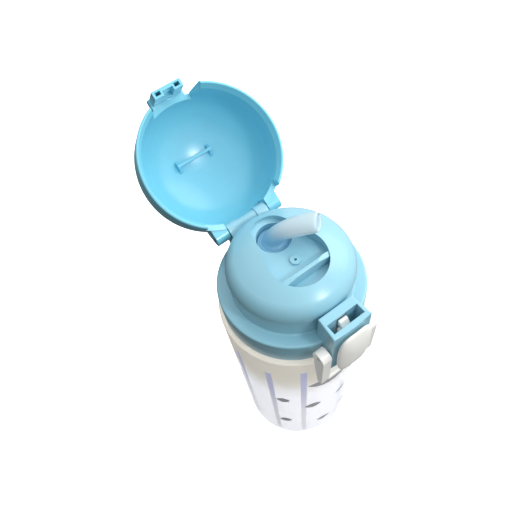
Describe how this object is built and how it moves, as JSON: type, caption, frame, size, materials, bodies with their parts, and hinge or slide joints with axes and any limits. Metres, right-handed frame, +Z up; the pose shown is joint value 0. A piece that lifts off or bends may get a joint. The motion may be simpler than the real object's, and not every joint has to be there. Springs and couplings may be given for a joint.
{
  "type": "flip-lid straw bottle",
  "caption": "Frosted drinks bottle with a screw cap, domed flip lid on a rear hinge, folding soft mouthpiece, straw, push-button latch and swing-up lock ring.",
  "frame": {"origin": "centre of the base, on the surface the bottle stands on", "axes": "+Z up along the bottle's axis, -Y towards the latch and push button, +Y towards the hinge, +X to the right seen from the latch; the lid stands open at rest"},
  "size_m": [0.0792, 0.1564, 0.2276],
  "materials": {
    "frosted_body": "frosted",
    "cap_blue": "gloss",
    "white_plastic": "satin",
    "liner_white": "satin",
    "clear_silicone": "translucent",
    "straw_plastic": "translucent",
    "steel": "satin"
  },
  "bodies": {
    "bottle": {"bottle_body": "frosted_body"},
    "gasket": {"neck_gasket": "clear_silicone"},
    "cap": {"cap_shell": "cap_blue", "cap_liner": "liner_white", "hinge_pin": "steel", "hinge_spring": "steel", "spout_base": "clear_silicone", "drinking_straw": "straw_plastic", "vent_valve": "clear_silicone", "button_spring": "steel", "ring_pins": "steel"},
    "lid": {"flip_lid": "cap_blue"},
    "mouthpiece": {"spout_tip": "clear_silicone"},
    "button": {"push_button": "white_plastic"},
    "ring": {"lock_ring": "white_plastic"}
  },
  "joints": [
    {"name": "cap_rise", "type": "slide", "parent": "bottle", "child": "gasket", "axis": [0, 0, 1], "range_m": [0, 0.009]},
    {"name": "cap_turn", "type": "hinge", "parent": "gasket", "child": "cap", "pos_m": [0, 0, 0.16], "axis": [0, 0, 1], "range_deg": [0, 540]},
    {"name": "lid_hinge", "type": "hinge", "parent": "cap", "child": "lid", "pos_m": [0, 0.0366, 0.1785], "axis": [1, 0, 0], "range_deg": [0, 144.4]},
    {"name": "mouthpiece_fold", "type": "hinge", "parent": "cap", "child": "mouthpiece", "pos_m": [0, 0.0126, 0.195], "axis": [0.5189, -0.0444, -0.8537], "range_deg": [0, 48.56]},
    {"name": "button_press", "type": "slide", "parent": "cap", "child": "button", "axis": [0, 1, 0], "range_m": [0, 0.0013], "stiffness_N_per_m": 400, "springref_m": -0.002},
    {"name": "ring_swing", "type": "hinge", "parent": "cap", "child": "ring", "pos_m": [0, -0.041, 0.165], "axis": [-1, 0, 0], "range_deg": [0, 172]}
  ],
  "couplings": [
    {"joint": "cap_rise", "follows": "cap_turn", "m_per_rad": 0.00095493},
    {"joint": "mouthpiece_fold", "follows": "lid_hinge", "ratio": 0.33625}
  ]
}
